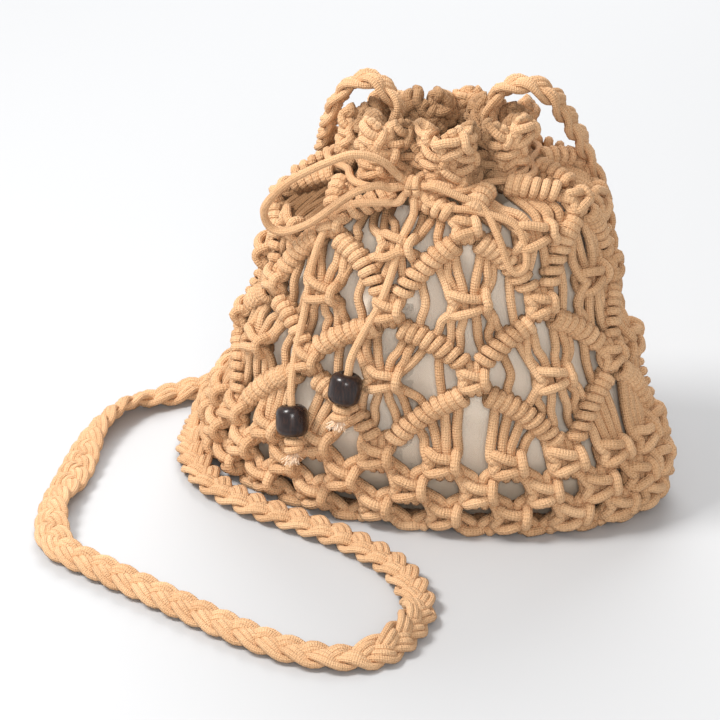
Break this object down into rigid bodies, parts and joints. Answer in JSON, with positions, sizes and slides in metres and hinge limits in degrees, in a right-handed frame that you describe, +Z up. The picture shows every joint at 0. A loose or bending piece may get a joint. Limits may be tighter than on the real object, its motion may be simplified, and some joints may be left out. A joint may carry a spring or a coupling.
{
  "type": "macrame drawstring bag",
  "caption": "Small knotted cotton bag with diamond net body, ruffled drawstring neck tied in a bow, wooden beads, cream lining and braided strap.",
  "frame": {"origin": "middle of the bag's base, on the surface that it stands on", "axes": "+Z up, -Y to the front of the bag where the bow is tied, +X to the bag's right as seen from the front"},
  "size_m": [0.296, 0.3135, 0.2112],
  "materials": {
    "cotton_cord": "matte braided cotton cord, warm tan",
    "cotton_lining": "plain cream cotton cloth",
    "dark_wood": "dark brown lacquered wood"
  },
  "bodies": {
    "root": {"net_body": "cotton_cord", "base_mat": "cotton_cord", "net_crown": "cotton_cord", "lining_pouch": "cotton_lining", "neck_cord": "cotton_cord", "bow_knot": "cotton_cord", "bow_loop_left": "cotton_cord", "bow_loop_right": "cotton_cord", "tail_left": "cotton_cord", "tail_right": "cotton_cord", "bead_left": "dark_wood", "bead_right": "dark_wood", "end_knot_left": "cotton_cord", "end_knot_right": "cotton_cord", "strap": "cotton_cord"}
  },
  "joints": []
}
